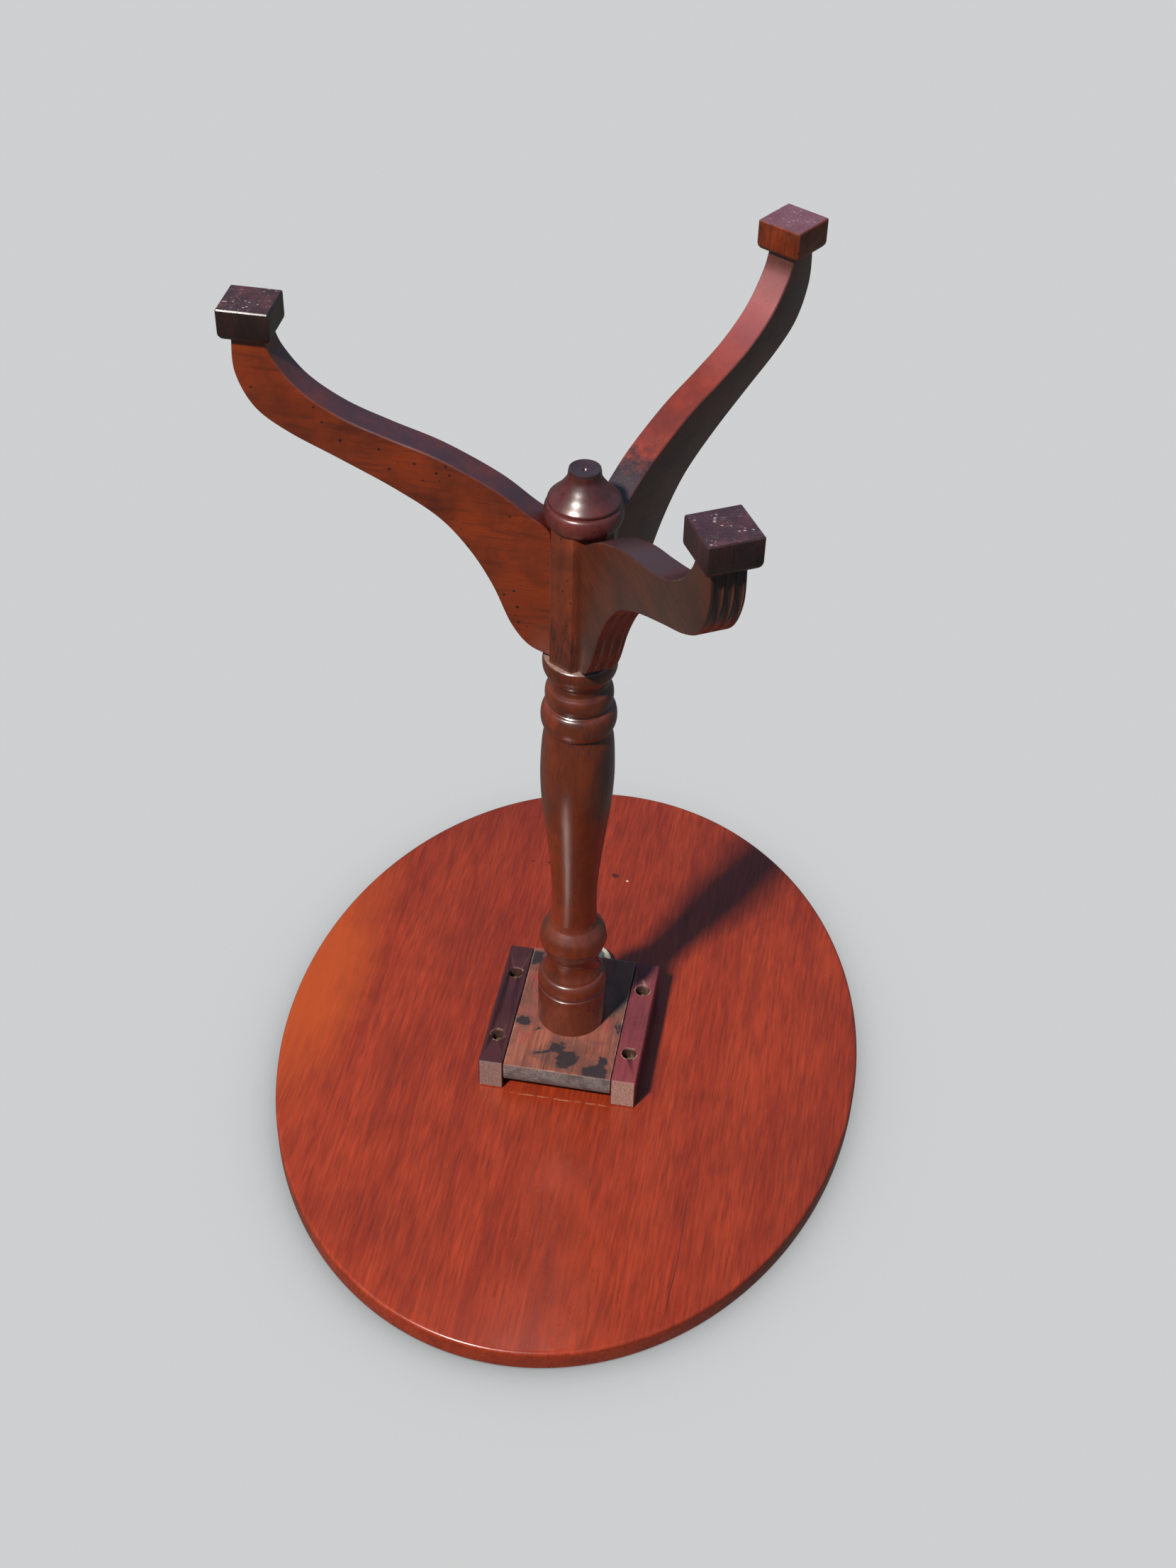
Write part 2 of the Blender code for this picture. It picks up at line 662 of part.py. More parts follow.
def main():
    clear_scene()
    mahogany = material("mahogany_top", (0.33, 0.062, 0.036), 0.34)
    turned = material("mahogany_turned", (0.17, 0.042, 0.024), 0.28)
    dark = material("mahogany_foot", (0.055, 0.022, 0.018), 0.45)
    bearer_wood = material("bearer_wood", (0.085, 0.032, 0.034), 0.6)
    raw = material("raw_block_wood", (0.36, 0.15, 0.09), 0.75)
    dowel = material("dowel_wood", (0.55, 0.40, 0.25), 0.7)
    steel = material("screw_steel", (0.42, 0.36, 0.27), 0.4, 1.0)
    plated = material("plated_catch", (0.55, 0.53, 0.47), 0.35, 1.0)

    make_top(mahogany)
    make_bearer("bearer_left", -1, bearer_wood)
    make_bearer("bearer_right", 1, bearer_wood)
    make_bearer_screws(steel)
    for name, side in (("pivot_pin_left", -1), ("pivot_pin_right", 1)):
        add_object(name, pin_mesh(side, 0.0), steel, origin=(0, PIVOT_Y, PIVOT_Z), smooth=True)
    make_block(raw)
    make_column(turned)
    add_object("tenon_wedge", wedge_mesh(0.0), dowel)
    add_object("drop_finial", lathe_mesh(finial_profile()), turned, smooth=True)
    for number, angle in enumerate(LEG_ANGLES, 1):
        make_leg(number, angle, turned)
        make_foot(number, angle, dark)
        shape = on_leg(dowel_mesh(0.0), angle)
        add_object(f"foot_dowel_{number}", shape, dowel, smooth=True)
    make_catch_case(plated)
    make_bolt(plated)
    make_catch_spring(steel)
    make_catch_screws(steel)
    make_keeper(plated)
    make_keeper_screws(steel)


main()
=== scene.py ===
"""Looks for the tilting table: finer pieces over the CAD frame, procedural woods, stage and light.

The frame: the table stands upright on z = 0. The photograph was taken with the table upside down,
so the camera looks up from below the floor and is rolled half round.
"""

import json
from math import atan2, cos, hypot, pi, radians, sin, sqrt

import bmesh
import bpy
import numpy as np
from mathutils import Matrix, Vector


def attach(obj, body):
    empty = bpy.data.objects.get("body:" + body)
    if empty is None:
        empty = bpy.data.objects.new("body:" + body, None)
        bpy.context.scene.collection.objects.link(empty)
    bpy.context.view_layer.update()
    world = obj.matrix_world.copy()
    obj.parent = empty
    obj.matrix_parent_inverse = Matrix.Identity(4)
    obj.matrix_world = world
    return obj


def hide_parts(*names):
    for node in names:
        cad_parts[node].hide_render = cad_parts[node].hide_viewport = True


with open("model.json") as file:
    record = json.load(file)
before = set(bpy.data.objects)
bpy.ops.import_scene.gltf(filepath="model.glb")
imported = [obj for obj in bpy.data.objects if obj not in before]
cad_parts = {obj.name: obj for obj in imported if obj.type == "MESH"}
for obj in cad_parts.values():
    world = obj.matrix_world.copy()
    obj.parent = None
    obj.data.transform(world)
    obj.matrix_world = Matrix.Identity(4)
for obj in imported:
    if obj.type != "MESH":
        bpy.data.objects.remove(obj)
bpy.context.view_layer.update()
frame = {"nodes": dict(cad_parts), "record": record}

UNDERSIDE = 0.645
TOP_FACE = 0.664
LEG_ANGLES = [0.0, 2 * pi / 3, 4 * pi / 3]
FOOT_HEIGHT = 0.022
LEG_THICKNESS = 0.022
LEG_SECTION_FOOT = 0.1359
LEG_SECTION_HEAD = 0.2471
LEG_SEAT = 0.0195
FLAT_SEAT = 0.0222
BLOCK_FOOT = 0.616
TOP_HALF_WIDTH, TOP_HALF_LENGTH = 0.235, 0.305
TOP_ROUNDING = 0.0028
HOLE_X, HOLE_Y = 0.05345, 0.035
HOLE_RADIUS = 0.0058

# Marks on level faces, as (x, y, radius).
INK_SPOTS = [
    (0.0365, -0.0167, 0.0055),
    (0.022, -0.022, 0.0028),
    (0.003, -0.040, 0.0065),
    (-0.006, -0.050, 0.0095),
    (-0.030, -0.060, 0.0095),
    (-0.034, -0.048, 0.0045),
    (0.040, 0.055, 0.008),
]
KNOTS = [(-0.005, 0.1947, 0.0035), (0.0708, 0.1991, 0.0014), (0.0561, 0.2002, 0.0014)]
FLECKS = [(-0.0166, 0.1905, 0.0010)]


# Meshes.


def new_object(name, shape, smooth_angle=35):
    mesh = bpy.data.meshes.new(name)
    bmesh.ops.recalc_face_normals(shape, faces=shape.faces)
    shape.to_mesh(mesh)
    shape.free()
    obj = bpy.data.objects.new(name, mesh)
    bpy.context.scene.collection.objects.link(obj)
    if smooth_angle:
        mesh.shade_smooth()
        mesh.set_sharp_from_angle(angle=radians(smooth_angle))
    return obj


def curve_through(points, steps):
    """A smooth curve through the points, as a Catmull-Rom spline."""
    found = []
    ends = [points[0]] + list(points) + [points[-1]]
    for p0, p1, p2, p3 in zip(ends, ends[1:], ends[2:], ends[3:]):
        for i in range(steps):
            t = i / steps
            weights = (
                (-t + 2 * t * t - t**3) / 2,
                (2 - 5 * t * t + 3 * t**3) / 2,
                (t + 4 * t * t - 3 * t**3) / 2,
                (-t * t + t**3) / 2,
            )
            found.append(
                tuple(sum(w * p[k] for w, p in zip(weights, (p0, p1, p2, p3))) for k in (0, 1))
            )
    return found + [points[-1]]


def bead(start, end, bulge, steps=10):
    found = []
    for i in range(steps + 1):
        turn = pi * i / steps
        share = (1 - cos(turn)) / 2
        radius = start[0] + (end[0] - start[0]) * share + bulge * sin(turn)
        found.append((radius, start[1] + (end[1] - start[1]) * share))
    return found


def lathe(profile, sides=96):
    shape = bmesh.new()
    rings = []
    for radius, z in profile:
        if radius < 1e-7:
            rings.append([shape.verts.new((0.0, 0.0, z))])
            continue
        angles = [2 * pi * i / sides for i in range(sides)]
        rings.append([shape.verts.new((radius * cos(a), radius * sin(a), z)) for a in angles])
    for first, second in zip(rings, rings[1:]):
        for i in range(sides):
            j = (i + 1) % sides
            corners = [first[i % len(first)], first[j % len(first)]]
            corners += [second[j % len(second)], second[i % len(second)]]
            shape.faces.new(list(dict.fromkeys(corners)))
    return shape


def skin(shape, rings):
    """Joins rings of corners, each to the next, and closes both ends."""
    for first, second in zip(rings, rings[1:]):
        for i in range(len(first)):
            j = (i + 1) % len(first)
            shape.faces.new([first[i], first[j], second[j], second[i]])
    shape.faces.new(rings[0])
    shape.faces.new(rings[-1])


def prism(outline, low, high):
    shape = bmesh.new()
    rings = [[shape.verts.new((x, y, z)) for x, y in outline] for z in (low, high)]
    shape.faces.new(rings[0])
    shape.faces.new(rings[1])
    for i in range(len(outline)):
        j = (i + 1) % len(outline)
        shape.faces.new([rings[0][i], rings[0][j], rings[1][j], rings[1][i]])
    return shape


def combine(obj, helper, operation):
    helper.hide_render = True
    helper.display_type = "WIRE"
    change = obj.modifiers.new(operation.title(), "BOOLEAN")
    change.operation = operation
    change.solver = "EXACT"
    change.object = helper
    bpy.context.view_layer.update()
    graph = bpy.context.evaluated_depsgraph_get()
    mesh = bpy.data.meshes.new_from_object(obj.evaluated_get(graph))
    obj.modifiers.clear()
    obj.data = mesh
    bpy.data.objects.remove(helper)


def smooth(obj, angle=35):
    obj.data.shade_smooth()
    obj.data.set_sharp_from_angle(angle=radians(angle))


def turned_column():
    head = LEG_SECTION_HEAD
    collar = [(0.0, head), (0.0254, head), (0.0260, head + 0.0005)]
    collar += curve_through([(0.0262, 0.2480), (0.0267, 0.2520), (0.0258, 0.2585), (0.0215, 0.2665)], 8)
    ring = [(0.0213, 0.2680), (0.0212, 0.2705), (0.0214, 0.2716), (0.0220, 0.2724)]
    ring += bead((0.0224, 0.2733), (0.0225, 0.2881), 0.0022, 12)
    ring += [(0.0226, 0.2888)] + bead((0.0232, 0.2894), (0.0240, 0.3094), 0.0039, 18)
    vase = curve_through(
        [
            (0.0240, 0.3100),
            (0.0243, 0.3128),
            (0.0262, 0.3250),
            (0.0273, 0.3530),
            (0.0262, 0.3800),
            (0.0234, 0.4080),
            (0.0203, 0.4360),
            (0.0179, 0.4660),
            (0.0175, 0.4850),
            (0.0179, 0.5030),
        ],
        8,
    )
    cup = curve_through([(0.0191, 0.5082), (0.0222, 0.5125), (0.0250, 0.5176), (0.0264, 0.5254)], 6)
    cup += [(0.0266, 0.5262), (0.0266, 0.5268)]
    cup += curve_through([(0.0259, 0.5278), (0.0240, 0.5350), (0.0204, 0.5426)], 7)
    neck = [(0.0203, 0.5433), (0.0203, 0.5455), (0.0201, 0.5461), (0.0197, 0.5463)]
    neck += curve_through([(0.0197, 0.5480), (0.0205, 0.5542), (0.0229, 0.5602)], 7)
    neck += [(0.0231, 0.5607), (0.0231, 0.5618)]
    foot = bead((0.0235, 0.5624), (0.0258, 0.5765), 0.0025, 14)
    foot += [(0.0262, 0.5771), (0.0269, 0.5777), (0.0271, 0.5790), (0.0271, BLOCK_FOOT - 0.0003)]
    tenon = [(0.0125, BLOCK_FOOT - 0.0003), (0.0125, 0.6342), (0.0, 0.6342)]
    return new_object("visual_column", lathe(collar + ring + vase + cup + neck + foot + tenon))


def leg_section():
    half = (4 * FLAT_SEAT - 2 * LEG_SEAT) / sqrt(3) / 2
    corner, offset = hypot(LEG_SEAT, half), atan2(half, LEG_SEAT)
    turns = [angle + side * offset for angle in LEG_ANGLES for side in (-1, 1)]
    outline = [(corner * cos(t), corner * sin(t)) for t in turns]
    section = new_object("visual_leg_section", prism(outline, LEG_SECTION_FOOT, 0.2500), None)
    soften(section, 0.0007, 2)
    return section


def turned_finial():
    end = [(0.0, 0.0985), (0.0006, 0.0983), (0.0013, 0.0973), (0.0021, 0.0967), (0.0050, 0.0967)]
    end += [(0.0076, 0.0964), (0.0090, 0.0955), (0.0099, 0.0952), (0.0107, 0.0955), (0.0109, 0.0966)]
    bell = curve_through(
        [
            (0.0111, 0.0978),
            (0.0116, 0.1015),
            (0.0134, 0.1052),
            (0.0158, 0.1086),
            (0.0187, 0.1124),
            (0.0226, 0.1160),
            (0.0243, 0.1178),
        ],
        9,
    )
    ring = [(0.0246, 0.1186), (0.0245, 0.1193), (0.0239, 0.1199), (0.0238, 0.1206)]
    ring += bead((0.0241, 0.1212), (0.0240, 0.1354), 0.0029, 14)
    return new_object("visual_finial", lathe(end + bell + ring + [(0.0, 0.1354)]))


def resampled(points, count):
    """Points at even steps along a polyline."""
    points = np.array(points)
    along = np.concatenate([[0], np.cumsum(np.linalg.norm(np.diff(points, axis=0), axis=1))])
    at = np.linspace(0, along[-1], count)
    found = np.stack([np.interp(at, along, points[:, k]) for k in (0, 1)], 1)
    return found, at


FLUTES = (-0.58, 0.0, 0.58)
FLUTE_HALF = 0.255
FLUTE_DEPTH = 0.0017
FLUTE_END = 0.005


def flute_share(at, start, end):
    """How much of a flute's full width there is at a place along it: its ends are round."""
    inside = min(at - start, end - at)
    if inside <= 0:
        return 0.0
    return sqrt(1 - (1 - min(inside / FLUTE_END, 1)) ** 2)


def curved_leg(number, angle):
    """A leg lofted along its length, with three flutes in its outer face at the ankle and knee."""
    under = curve_through(
        [
            (0.0198, 0.1490),
            (0.0208, 0.1432),
            (0.0262, 0.1366),
            (0.0360, 0.1298),
            (0.0590, 0.1130),
            (0.0960, 0.0945),
            (0.1300, 0.0830),
            (0.1600, 0.0715),
            (0.1850, 0.0555),
            (0.2010, 0.0360),
            (0.2065, FOOT_HEIGHT + 0.0003),
        ],
        8,
    )
    outer = curve_through(
        [
            (0.2282, FOOT_HEIGHT + 0.0003),
            (0.2280, 0.0470),
            (0.2170, 0.0710),
            (0.1960, 0.0870),
            (0.1620, 0.1035),
            (0.1260, 0.1215),
            (0.0960, 0.1405),
            (0.0755, 0.1635),
            (0.0600, 0.1900),
            (0.0475, 0.2200),
            (0.0350, 0.2370),
            (0.0198, 0.2443),
        ],
        8,
    )
    stations = 230
    low, _ = resampled(under, stations)
    high, along = resampled(outer[::-1], stations)
    reach = along[-1]
    tangent = np.gradient(high, axis=0)
    tangent /= np.linalg.norm(tangent, axis=1)[:, None]
    normal = np.stack([-tangent[:, 1], tangent[:, 0]], 1)
    half, corner = LEG_THICKNESS / 2, 0.0012
    across = [-1.0, -0.975, -0.94, -0.89] + [0.89, 0.94, 0.975, 1.0]
    for middle in FLUTES:
        across += [middle + FLUTE_HALF * k for k in (-1.12, -1, -0.9, -0.7, -0.4, 0, 0.4, 0.7, 0.9, 1, 1.12)]
    across = sorted(t for t in across if abs(t) <= 1)
    shape = bmesh.new()
    rings = []
    for i in range(stations):
        share = max(
            flute_share(along[i], 0.022, 0.116), flute_share(along[i], reach - 0.060, reach + 0.010)
        )
        ring = []
        for t in across:
            edge = max(0.0, abs(t) * half - (half - corner))
            drop = corner - sqrt(max(corner**2 - edge**2, 0.0))
            off = min(abs(t - middle) for middle in FLUTES) / (FLUTE_HALF * max(share, 0.01))
            drop += FLUTE_DEPTH * share * max(0.0, 1 - off * off) ** 0.75
            spot = high[i] - normal[i] * drop
            ring.append(shape.verts.new((spot[0], t * half, spot[1])))
        for t in (1.0, 0.93, -0.93, -1.0):
            raised = 0.0009 if abs(t) > 0.99 else 0.0
            spot = low[i] + normal[i] * raised
            ring.append(shape.verts.new((spot[0], t * half, spot[1])))
        rings.append(ring)
    skin(shape, rings)
    leg = new_object(f"visual_leg_{number}", shape, 32)
    leg.rotation_euler = (0, 0, angle)
    return leg


def oval_board():
    """The top, with a rounded edge: its profile is a list of (inset, z)."""
    profile = [(-0.006, UNDERSIDE), (-0.0032, UNDERSIDE)]
    steps = 6
    for centre, start in ((UNDERSIDE + TOP_ROUNDING, -pi / 2), (TOP_FACE - TOP_ROUNDING, 0.0)):
        for i in range(steps + 1):
            turn = start + pi / 2 * i / steps
            profile.append((TOP_ROUNDING * (cos(turn) - 1), centre + TOP_ROUNDING * sin(turn)))
    profile += [(-0.0032, TOP_FACE), (-0.006, TOP_FACE)]
    sides = 256
    shape = bmesh.new()
    rings = []
    for inset, z in profile:
        turns = [2 * pi * i / sides for i in range(sides)]
        width, length = TOP_HALF_WIDTH + inset, TOP_HALF_LENGTH + inset
        rings.append([shape.verts.new((width * cos(t), length * sin(t), z)) for t in turns])
    skin(shape, rings)
    return new_object("visual_top", shape, 40)


def soften(obj, width, segments=2, angle=40):
    bevel = obj.modifiers.new("Rounded", "BEVEL")
    bevel.width = width
    bevel.segments = segments
    bevel.limit_method = "ANGLE"
    bevel.angle_limit = radians(angle)
    bevel.harden_normals = False


def copy_of(node, name, width):
    """A visual piece with the CAD node's shape, its arrises softened when a width is given."""
    source = frame["nodes"][node]
    shape = bmesh.new()
    shape.from_mesh(source.data)
    bmesh.ops.remove_doubles(shape, verts=shape.verts, dist=1e-6)
    bmesh.ops.dissolve_limit(
        shape, angle_limit=radians(1), verts=shape.verts, edges=shape.edges
    )
    obj = new_object(name, shape, 35)
    if width:
        soften(obj, width)
    return obj


# Materials.


class NodeMaterial:
    """Builds one node material. Each method adds nodes and returns the socket that comes out."""

    def __init__(self, name):
        self.material = bpy.data.materials.new(name)
        self.material.use_nodes = True
        self.tree = self.material.node_tree
        self.shader = self.tree.nodes["Principled BSDF"]
        self.place = self.node("ShaderNodeTexCoord").outputs["Object"]

    def node(self, kind, **settings):
        made = self.tree.nodes.new(kind)
        for key, value in settings.items():
            setattr(made, key, value)
        return made

    def feed(self, socket, value):
        if isinstance(value, bpy.types.NodeSocket):
            self.tree.links.new(value, socket)
        elif socket.type == "RGBA" and len(value) == 3:
            socket.default_value = (*value, 1.0)
        else:
            socket.default_value = value

    def scaled(self, scale, shift=(0, 0, 0)):
        made = self.node("ShaderNodeMapping")
        self.feed(made.inputs["Vector"], self.place)
        made.inputs["Scale"].default_value = scale
        made.inputs["Location"].default_value = shift
        return made.outputs["Vector"]

    def noise(self, vector, scale, detail=3.0, rough=0.5, distortion=0.0):
        made = self.node("ShaderNodeTexNoise")
        self.feed(made.inputs["Vector"], vector)
        made.inputs["Scale"].default_value = scale
        made.inputs["Detail"].default_value = detail
        made.inputs["Roughness"].default_value = rough
        made.inputs["Distortion"].default_value = distortion
        return made.outputs["Fac"]

    def cells(self, vector, scale):
        made = self.node("ShaderNodeTexVoronoi")
        self.feed(made.inputs["Vector"], vector)
        made.inputs["Scale"].default_value = scale
        return made.outputs["Distance"]

    def spread(self, value, low, high, out_low=0.0, out_high=1.0):
        made = self.node("ShaderNodeMapRange")
        self.feed(made.inputs["Value"], value)
        for key, number in zip(("From Min", "From Max", "To Min", "To Max"), (low, high, out_low, out_high)):
            made.inputs[key].default_value = number
        return made.outputs["Result"]

    def math(self, operation, a, b=0.0):
        made = self.node("ShaderNodeMath", operation=operation)
        self.feed(made.inputs[0], a)
        self.feed(made.inputs[1], b)
        return made.outputs[0]

    def times(self, first, *others):
        for other in others:
            first = self.math("MULTIPLY", first, other)
        return first

    def away(self, x, y, centre_x=0.0, centre_y=0.0):
        """Distance of (x, y) from a centre."""
        across, along = self.math("SUBTRACT", x, centre_x), self.math("SUBTRACT", y, centre_y)
        squares = self.math("ADD", self.times(across, across), self.times(along, along))
        return self.math("SQRT", squares)

    def ragged(self, noise, size):
        """A noise, centred on 0 and scaled, that is added to a place to roughen an outline."""
        return self.times(self.math("SUBTRACT", noise, 0.5), size)

    def near_middle(self, value, wide, narrow):
        """1 where a noise crosses its middle value, which draws thin wandering lines."""
        return self.spread(self.math("ABSOLUTE", self.math("SUBTRACT", value, 0.5)), wide, narrow)

    def mix(self, share, a, b, blend="MIX"):
        made = self.node("ShaderNodeMix", data_type="RGBA", blend_type=blend)
        self.feed(made.inputs["Factor"], share)
        self.feed(made.inputs["A"], a)
        self.feed(made.inputs["B"], b)
        return made.outputs["Result"]

    def axis(self, name, normal=False):
        made = self.node("ShaderNodeSeparateXYZ")
        source = self.node("ShaderNodeTexCoord").outputs["Normal"] if normal else self.place
        self.feed(made.inputs[0], source)
        return made.outputs[name]

    def edges(self, radius, low=0.05, high=0.35):
        """1 on arrises, 0 on flats, from how far a rounded normal leans from the real one."""
        bevel = self.node("ShaderNodeBevel", samples=4)
        bevel.inputs["Radius"].default_value = radius
        real = self.node("ShaderNodeNewGeometry").outputs["Normal"]
        dot = self.node("ShaderNodeVectorMath", operation="DOT_PRODUCT")
        self.feed(dot.inputs[0], bevel.outputs["Normal"])
        self.feed(dot.inputs[1], real)
        lean = self.math("SUBTRACT", 1.0, dot.outputs["Value"])
        return self.spread(lean, low, high)

    def bump(self, height, strength, distance=0.0006):
        made = self.node("ShaderNodeBump")
        made.inputs["Strength"].default_value = strength
        made.inputs["Distance"].default_value = distance
        self.feed(made.inputs["Height"], height)
        self.feed(self.shader.inputs["Normal"], made.outputs["Normal"])


def wood(name, dark, mid, light, along=1, **look):
    """Grain, figure, clouds, pores, worm specks, worn arrises, end grain, varnish and bump."""
    w = NodeMaterial(name)
    stretch = [1.0, 1.0, 1.0]
    stretch[along] = look.get("stretch", 0.07)
    grain_place = w.scaled(stretch)
    figure = w.noise(grain_place, look.get("figure", 26), 4, 0.55, 0.6)
    fine = w.noise(grain_place, 420, 5, 0.6)
    clouds = w.noise(w.place, look.get("cloud", 9), 5, 0.6, 0.4)
    colour = w.mix(w.spread(figure, 0.34, 0.62), mid, light)
    colour = w.mix(w.spread(clouds, 0.42, 0.72, 0, look.get("cloud_share", 0.7)), colour, dark)
    fine_share = look.get("fine_share", 0.25)
    shade = w.spread(fine, 0.3, 0.7, 1 - fine_share, 1 + fine_share * 0.6)
    grey = w.node("ShaderNodeCombineColor")
    for channel in range(3):
        w.feed(grey.inputs[channel], shade)
    colour = w.mix(1.0, colour, grey.outputs[0], "MULTIPLY")
    pore_place = [260.0, 260.0, 260.0]
    pore_place[along] = 11.0
    pores = w.noise(w.scaled(pore_place), 3.0, 2, 0.5)
    pore = w.spread(pores, 0.62, 0.70, 0, look.get("pores", 0.5))
    colour = w.mix(pore, colour, [c * 0.35 for c in dark])
    if look.get("specks"):
        holes = w.cells(w.place, look.get("speck_scale", 150))
        patch = w.spread(w.noise(w.place, 26, 3), 0.50, 0.56)
        dots = w.times(w.spread(holes, 0.165, 0.120), patch)
        colour = w.mix(w.times(dots, look["specks"]), colour, [0.006, 0.003, 0.003])
    if look.get("paint"):
        flecks = w.cells(w.scaled((1, 0.6, 1)), look["paint"])
        colour = w.mix(w.spread(flecks, 0.020, 0.012), colour, [0.62, 0.55, 0.47])
    if look.get("streaks"):
        band = w.noise(w.scaled(stretch, (3, 1, 7)), look["streak_scale"], 3, 0.5, 0.3)
        colour = w.mix(w.spread(band, 0.55, 0.68, 0, look["streaks"]), colour, dark)
    for extra in look.get("extras", ()):
        colour = extra(w, colour)
    if look.get("end_grain"):
        facing = w.math("ABSOLUTE", w.axis(along, normal=True))
        spotted = w.noise(w.place, 700, 3, 0.7)
        darker = [c * 0.45 for c in look["end_grain"]]
        ends = w.mix(w.spread(spotted, 0.35, 0.65), look["end_grain"], darker)
        colour = w.mix(w.spread(facing, 0.75, 0.95), colour, ends)
    for extra in look.get("extras_after", ()):
        colour = extra(w, colour)
    if look.get("wear"):
        edge = w.edges(look.get("wear_radius", 0.0022))
        rubbed = w.spread(w.noise(w.place, 60, 5, 0.65), 0.40, 0.62)
        share = w.times(edge, rubbed, look["wear_share"])
        colour = w.mix(share, colour, look["wear"])
    w.feed(w.shader.inputs["Base Color"], colour)
    low, high = look.get("rough", (0.3, 0.5))
    smudge = w.noise(w.place, 34, 5, 0.6)
    rough = w.spread(smudge, 0.32, 0.68, low, high)
    rough = w.math("ADD", rough, w.times(pore, 0.25))
    w.feed(w.shader.inputs["Roughness"], rough)
    w.shader.inputs["Coat Weight"].default_value = look.get("coat", 0.0)
    w.shader.inputs["Coat Roughness"].default_value = look.get("coat_rough", 0.12)
    w.shader.inputs["Specular IOR Level"].default_value = look.get("specular", 0.5)
    height = w.math("SUBTRACT", w.times(fine, 0.6), w.times(pore, 0.9))
    height = w.math("ADD", height, w.times(w.noise(w.place, 90, 4), 0.8))
    w.bump(height, look.get("bump", 0.25))
    return w.material


def metal(name, colour, dull, metallic, rough=(0.28, 0.5), stain_share=0.6):
    """Plated or bare metal with dull patches, rust, fine scratches and bump."""
    w = NodeMaterial(name)
    patches = w.noise(w.place, 160, 5, 0.6)
    fine = w.noise(w.scaled((1, 9, 1)), 900, 3)
    tint = w.mix(w.spread(patches, 0.35, 0.65), colour, dull)
    rust = w.spread(w.noise(w.place, 320, 4, 0.7), 0.56, 0.70, 0, stain_share)
    tint = w.mix(rust, tint, [0.10, 0.055, 0.03])
    w.feed(w.shader.inputs["Base Color"], tint)
    w.feed(w.shader.inputs["Metallic"], w.spread(rust, 0, 1, metallic, 0.35 * metallic))
    roughness = w.math("ADD", w.spread(fine, 0.3, 0.7, *rough), w.times(rust, 0.3))
    w.feed(w.shader.inputs["Roughness"], roughness)
    w.bump(w.math("ADD", w.times(fine, 0.4), w.times(patches, 0.5)), 0.2, 0.0003)
    return w.material


def sunlit_edge(w, colour):
    """Painted sunlight: a brighter orange band along one side of the underside, where the sun grazes it."""
    x, y = w.axis("X"), w.axis("Y")
    ragged = w.ragged(w.noise(w.place, 14, 5, 0.6), 0.07)
    reach = w.spread(w.math("ADD", x, ragged), 0.172, 0.212)
    there = w.times(w.spread(y, -0.14, -0.02), w.spread(y, 0.20, 0.10))
    return w.mix(w.times(reach, there, 0.75), colour, [0.39, 0.062, 0.0085])


def hairline(w, colour):
    """A thin dark crack along the grain."""
    x, y = w.axis("X"), w.axis("Y")
    wander = w.ragged(w.noise(w.place, 9, 3), 0.012)
    off = w.math("ABSOLUTE", w.math("ADD", w.math("ADD", x, 0.118), wander))
    reach = w.times(w.spread(y, -0.135, -0.15), w.spread(y, -0.26, -0.24))
    return w.mix(w.times(w.spread(off, 0.0007, 0.0002), reach, 0.8), colour, [0.05, 0.010, 0.008])


def spots(w, places, warp):
    """1 within each (x, y, radius) on a level face, with ragged edges, and 0 outside them all."""
    ragged = w.ragged(w.noise(w.place, 110, 4, 0.6, 0.8), warp)
    found = None
    for x, y, radius in places:
        away = w.away(w.axis("X"), w.axis("Y"), x, y)
        inside = w.spread(w.math("ADD", away, ragged), radius * 1.08, radius * 0.86)
        found = inside if found is None else w.math("MAXIMUM", found, inside)
    return found


def knots(w, colour):
    """Small dark knots and a pale fleck on the underside."""
    colour = w.mix(w.times(spots(w, KNOTS, 0.006), 0.8), colour, [0.030, 0.008, 0.007])
    return w.mix(spots(w, FLECKS, 0.001), colour, [0.62, 0.52, 0.42])


def ink_blots(w, colour):
    """Black, ink-like blotches with soft brown edges on the bare block."""
    field = w.noise(w.scaled((1, 1, 1), (0.3, 0.1, 0)), 30, 5, 0.55, 0.8)
    wide = spots(w, [(x, y, radius * 1.6) for x, y, radius in INK_SPOTS], 0.020)
    brown = w.math("MAXIMUM", w.times(wide, 0.6), w.spread(field, 0.50, 0.62, 0, 0.65))
    colour = w.mix(brown, colour, [0.085, 0.034, 0.028])
    black = w.math("MAXIMUM", spots(w, INK_SPOTS, 0.013), w.spread(field, 0.64, 0.67))
    return w.mix(w.times(black, 0.93), colour, [0.012, 0.008, 0.011])


def blackened(w, colour):
    """The legs' under-faces are darker than their sides, and dirty."""
    z = w.axis("Z", normal=True)
    field = w.noise(w.place, 30, 5, 0.65)
    share = w.times(w.spread(z, -0.35, -0.8), w.spread(field, 0.35, 0.6, 0.35, 0.95))
    return w.mix(share, colour, [0.034, 0.010, 0.014])


def dark_flutes(w, colour):
    """The legs' outer faces are nearly black, and browner on the ridges between the flutes."""
    across = w.math("ABSOLUTE", w.axis("Y", normal=True))
    upper = w.spread(w.axis("Z", normal=True), -0.30, -0.10)
    share = w.times(w.spread(across, 0.85, 0.60), upper)
    ridge = w.edges(0.0018, 0.02, 0.20)
    tone = w.mix(w.times(ridge, 0.40), [0.012, 0.0055, 0.0058], [0.060, 0.018, 0.010])
    return w.mix(w.times(share, 0.88), colour, tone)


